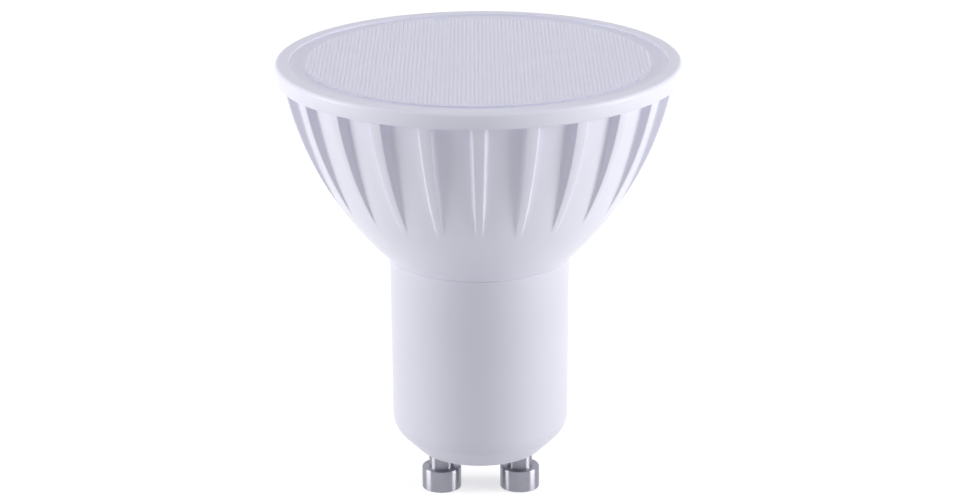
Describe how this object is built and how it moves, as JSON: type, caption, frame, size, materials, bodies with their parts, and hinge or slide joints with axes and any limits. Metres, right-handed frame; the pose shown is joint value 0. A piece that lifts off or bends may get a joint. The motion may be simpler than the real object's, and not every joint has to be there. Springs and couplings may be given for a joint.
{
  "type": "gu10 spotlight bulb",
  "caption": "Reflector-shaped LED lamp with a ribbed white bowl, raised prismatic lens, plain neck and a twin-pin twist base.",
  "frame": {"origin": "centre of the plane that touches the flat ends of both contact pins, on the lamp's axis", "axes": "+Z along the lamp's axis, from the pins to the lens; the two pins lie on the X axis, and the picture is taken along +Y"},
  "size_m": [0.05, 0.05, 0.0567],
  "materials": {
    "housing_plastic": "moulded white, semi-gloss",
    "neck_plastic": "moulded white, semi-gloss",
    "lens_plastic": "prismatic diffuser, milky",
    "pin_nickel": "nickel plated, polished",
    "spreader_aluminium": "pressed, bare",
    "pad_rubber": "soft grey pad",
    "board_white": "white solder mask on an aluminium core",
    "chip_plastic": "white package with yellow phosphor",
    "screw_steel": "zinc plated",
    "bush_plastic": "natural nylon",
    "lead_white": "insulated wire, tinned end",
    "lead_red": "insulated wire",
    "lead_black": "insulated wire",
    "fuse_coating": "lacquered, with tinned leads",
    "can_sleeve": "shrink sleeve over an aluminium can",
    "film_case": "moulded box",
    "ferrite": "sintered, dull",
    "coil_tape": "polyester tape over the winding",
    "package_black": "moulded package, tinned terminals",
    "board_green": "glass epoxy with solder mask",
    "solder": "bright tin"
  },
  "bodies": {
    "root": {"ribbed_housing": "housing_plastic", "base_neck": "neck_plastic", "lens": "lens_plastic", "pin_left": "pin_nickel", "pin_right": "pin_nickel", "heat_spreader": "spreader_aluminium", "thermal_pad": "pad_rubber", "led_board": "board_white", "led_chips": "chip_plastic", "board_screws": "screw_steel", "lead_bush": "bush_plastic", "mains_lead": "lead_white", "fuse_resistor": "fuse_coating", "led_lead_positive": "lead_red", "led_lead_negative": "lead_black", "bulk_capacitor": "can_sleeve", "output_capacitor": "can_sleeve", "film_capacitor": "film_case", "filter_choke": "ferrite", "inductor_core": "ferrite", "inductor_coil": "coil_tape", "bridge_rectifier": "package_black", "driver_chip": "package_black", "flyback_diode": "package_black", "chip_resistors": "package_black", "driver_board": "board_green", "solder_joints": "solder"}
  },
  "joints": []
}
